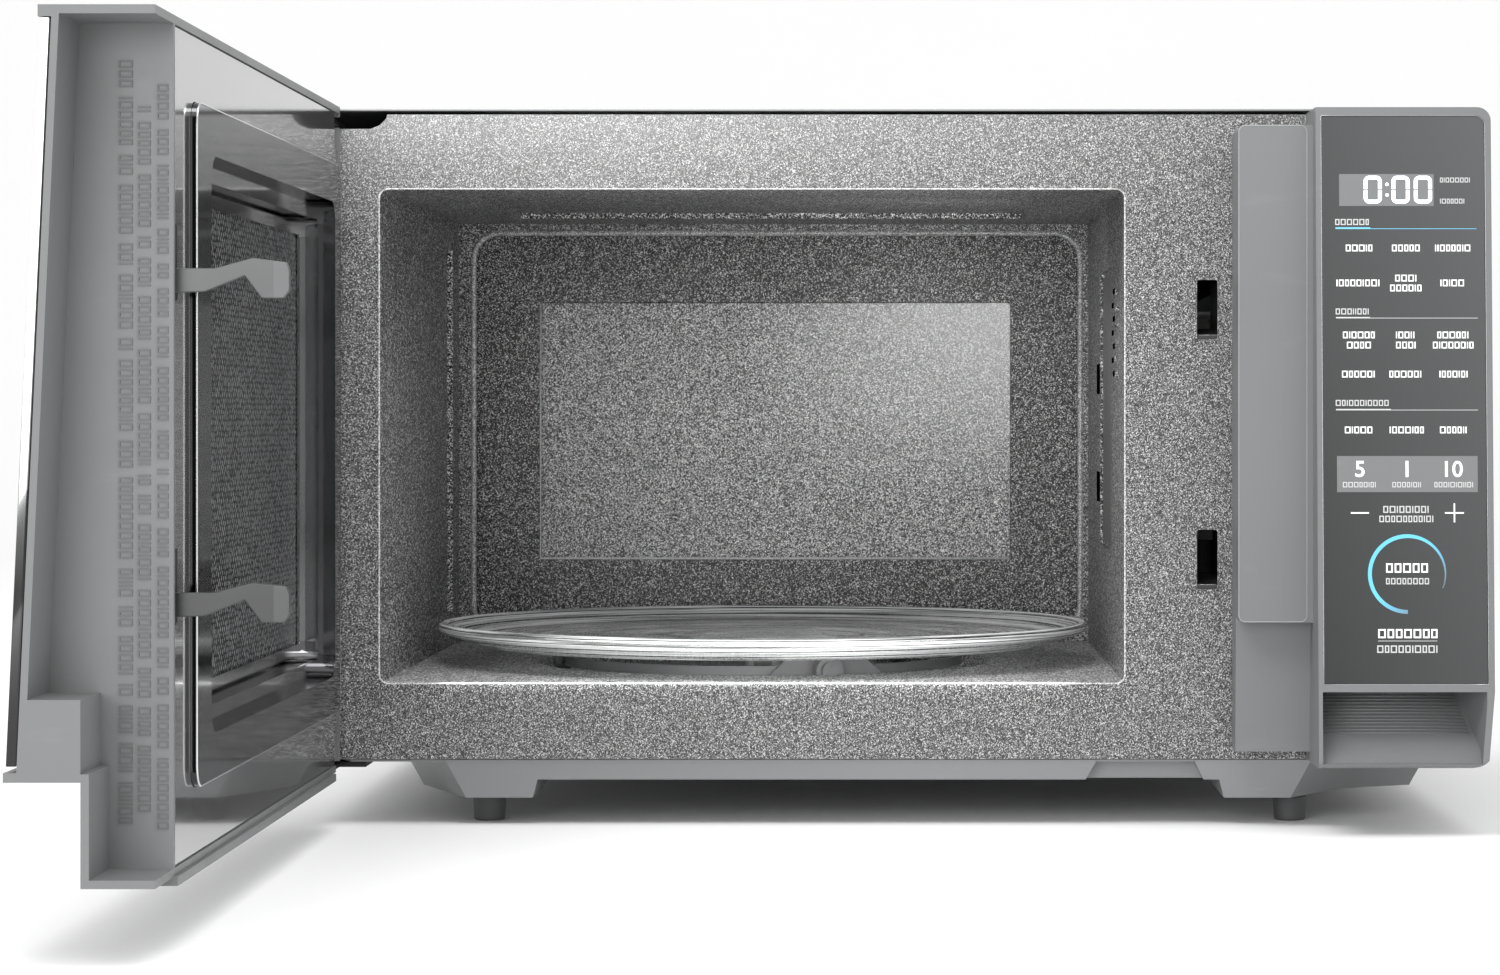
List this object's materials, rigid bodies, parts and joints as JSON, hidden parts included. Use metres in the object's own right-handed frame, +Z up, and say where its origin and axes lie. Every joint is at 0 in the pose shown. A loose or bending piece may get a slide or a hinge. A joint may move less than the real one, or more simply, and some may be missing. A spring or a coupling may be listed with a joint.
{
  "type": "microwave oven",
  "caption": "Countertop microwave oven with a side-hinged door, glass turntable on a roller ring, and a touch control panel with a clock display.",
  "frame": {"origin": "on the table, at the centre of the rectangle that the four feet make", "axes": "+Z up; +Y from the oven's front to its rear; +X to the oven's right as its user faces it"},
  "size_m": [0.556, 0.831, 0.3196],
  "materials": {
    "silver_paint": "smooth silver-grey powder paint",
    "speckle_enamel": "grey speckled metallic enamel",
    "base_paint": "smooth grey paint",
    "zinc_steel": "zinc-plated sheet",
    "seal_steel": "dark grey, glossy",
    "screen_black": "fine perforated sheet, black",
    "clear_film": "thin clear film",
    "grey_plastic": "fine-grained grey moulding",
    "cover_plastic": "grey, glossy",
    "touch_face": "dark grey touch face",
    "display": "white clock display, emissive",
    "clear_glass": "clear tempered glass",
    "mirror_glass": "mirror-coated tempered glass",
    "black_steel": "black",
    "rubber": "dark rubber",
    "key_plastic": "grey acetal",
    "white_plastic": "natural moulding",
    "black_plastic": "black moulding",
    "ring_plastic": "grey heat-proof moulding",
    "board_green": "circuit board",
    "mica": "mica sheet",
    "core_steel": "varnished laminations",
    "copper": "enamelled copper wire",
    "aluminium": "plain",
    "ceramic_white": "plain",
    "shaft_steel": "turned"
  },
  "bodies": {
    "cabinet": {"outer_wrap": "silver_paint", "rear_panel": "zinc_steel", "base_pan": "base_paint", "feet": "rubber", "front_plate": "speckle_enamel", "cavity_left_wall": "speckle_enamel", "cavity_right_wall": "speckle_enamel", "cavity_ceiling": "speckle_enamel", "cavity_floor": "speckle_enamel", "cavity_back": "speckle_enamel", "waveguide_cover": "mica", "waveguide_duct": "zinc_steel", "magnetron_yoke": "zinc_steel", "magnetron_fins": "aluminium", "magnetron_antenna": "shaft_steel", "magnetron_filter_box": "zinc_steel", "magnetron_screws": "zinc_steel", "transformer_core": "core_steel", "transformer_windings": "copper", "hv_capacitor": "aluminium", "capacitor_clamp": "zinc_steel", "hv_diode": "black_plastic", "fan_shroud": "black_plastic", "fan_motor": "core_steel", "air_duct": "black_plastic", "cavity_lamp": "clear_glass", "lamp_socket": "ceramic_white", "filter_board": "board_green", "thermal_cutout": "ceramic_white", "turntable_motor": "zinc_steel", "latch_bracket": "black_plastic", "microswitches": "black_plastic", "upper_hinge": "black_steel", "lower_hinge": "black_steel", "panel_housing": "grey_plastic", "panel_glass": "touch_face", "display_module": "display", "control_board": "board_green", "cord_gland": "black_plastic", "case_screws": "zinc_steel", "base_screws": "zinc_steel"},
    "door": {"door_frame": "grey_plastic", "door_glass": "mirror_glass", "door_seal_plate": "seal_steel", "door_screen": "screen_black", "door_inner_film": "clear_film", "choke_cover": "cover_plastic", "latch_spring": "shaft_steel", "hinge_pin_upper": "shaft_steel", "hinge_pin_lower": "shaft_steel", "door_screws": "zinc_steel"},
    "latch": {"latch_key": "key_plastic"},
    "turntable_drive": {"motor_shaft": "shaft_steel", "turntable_coupler": "white_plastic"},
    "plate": {"glass_plate": "clear_glass"},
    "ring": {"roller_ring": "ring_plastic"},
    "roller_a": {"roller_1": "ring_plastic"},
    "roller_b": {"roller_2": "ring_plastic"},
    "roller_c": {"roller_3": "ring_plastic"},
    "fan": {"fan_blades": "black_plastic"}
  },
  "joints": [
    {"name": "door_hinge", "type": "hinge", "parent": "cabinet", "child": "door", "pos_m": [-0.2517, -0.2, 0.17], "axis": [0, 0, 1], "range_deg": [-10, 90]},
    {"name": "latch_slide", "type": "slide", "parent": "door", "child": "latch", "axis": [0, 0, 1], "range_m": [0, 0.0055], "stiffness_N_per_m": 300, "springref_m": -0.004, "deforming": ["latch_spring"]},
    {"name": "turntable_spin", "type": "hinge", "parent": "cabinet", "child": "turntable_drive", "pos_m": [-0.0612, -0.0275, 0.06], "axis": [0, 0, 1], "continuous": true},
    {"name": "plate_lift", "type": "slide", "parent": "turntable_drive", "child": "plate", "axis": [0, 0, 1], "range_m": [0, 0.02]},
    {"name": "ring_spin", "type": "hinge", "parent": "cabinet", "child": "ring", "pos_m": [-0.0612, -0.0275, 0.0648], "axis": [0, 0, 1], "continuous": true},
    {"name": "roller_a_spin", "type": "hinge", "parent": "ring", "child": "roller_a", "pos_m": [-0.02808, -0.12207, 0.0648], "axis": [0.3305, -0.9438, 0], "continuous": true},
    {"name": "roller_b_spin", "type": "hinge", "parent": "ring", "child": "roller_b", "pos_m": [0.00414, 0.04847, 0.0648], "axis": [0.6521, 0.7581, 0], "continuous": true},
    {"name": "roller_c_spin", "type": "hinge", "parent": "ring", "child": "roller_c", "pos_m": [-0.15966, -0.0089, 0.0648], "axis": [-0.9826, 0.1857, 0], "continuous": true},
    {"name": "fan_spin", "type": "hinge", "parent": "cabinet", "child": "fan", "pos_m": [0.19, 0.132, 0.196], "axis": [0, 1, 0], "continuous": true}
  ],
  "couplings": [
    {"joint": "ring_spin", "follows": "turntable_spin", "ratio": 0.5},
    {"joint": "roller_a_spin", "follows": "turntable_spin", "ratio": -7.2609},
    {"joint": "roller_b_spin", "follows": "turntable_spin", "ratio": -7.2609},
    {"joint": "roller_c_spin", "follows": "turntable_spin", "ratio": -7.2609}
  ]
}
